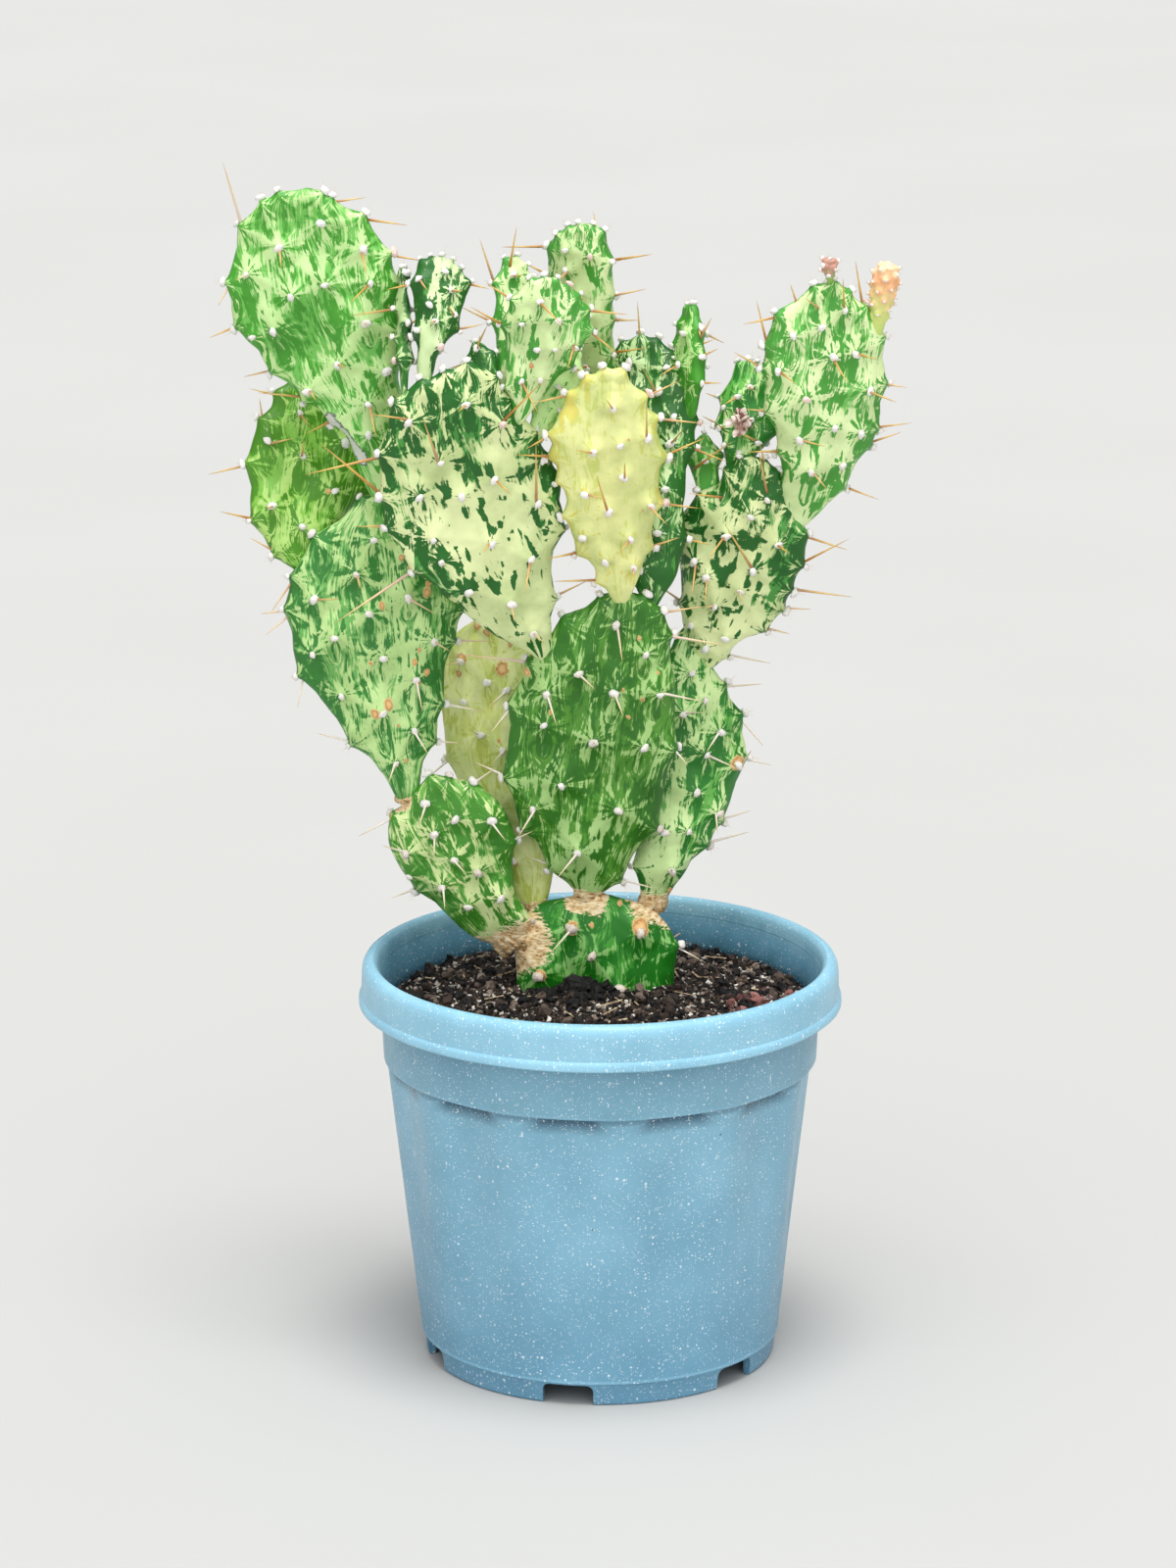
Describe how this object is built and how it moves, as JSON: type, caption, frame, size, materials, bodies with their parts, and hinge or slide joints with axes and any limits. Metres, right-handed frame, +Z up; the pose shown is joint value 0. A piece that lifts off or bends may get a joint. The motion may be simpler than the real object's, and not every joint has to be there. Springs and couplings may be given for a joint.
{
  "type": "potted variegated prickly pear cactus",
  "caption": "Variegated prickly pear with flat oval spiny pads, buds and a dried flower, growing from dark potting soil in a fluted blue plastic nursery pot.",
  "frame": {"origin": "centre of the bounding box, on the plane the pot stands on", "axes": "+Z straight up, -Y towards the front that the picture shows"},
  "size_m": [0.2428, 0.1704, 0.4276],
  "materials": {
    "pot_plastic": "satin moulded plastic with pale speckles",
    "soil": "rough dark bark and peat crumbs",
    "green_skin": "waxy skin, deep and mid green with cream streaks",
    "cream_skin": "waxy skin, mostly pale cream green with green blotches",
    "yellow_skin": "waxy pale yellow skin",
    "bud_skin": "woolly and knobbly young growth",
    "dried_flower": "dry and papery"
  },
  "bodies": {
    "root": {"pot": "pot_plastic", "soil": "soil", "pad_base": "green_skin", "pad_left_low": "green_skin", "pad_left_tall": "green_skin", "pad_left_back": "green_skin", "pad_left_top": "green_skin", "pad_pale_back": "cream_skin", "pad_middle": "green_skin", "pad_middle_upper": "cream_skin", "pad_right_low": "green_skin", "pad_right_middle": "cream_skin", "pad_right_top": "green_skin", "pad_yellow": "yellow_skin", "pad_dark_back": "green_skin", "pad_dark_finger": "green_skin", "pad_top_twin": "cream_skin", "pad_top_slim": "green_skin", "pad_top_right": "cream_skin", "pad_top_right_back": "green_skin", "pad_nub": "green_skin", "pad_between": "cream_skin", "pad_top_centre": "green_skin", "pad_right_young": "green_skin", "pad_right_nub": "cream_skin", "bud_small": "bud_skin", "bud_orange": "bud_skin", "dried_flower": "dried_flower"}
  },
  "joints": []
}
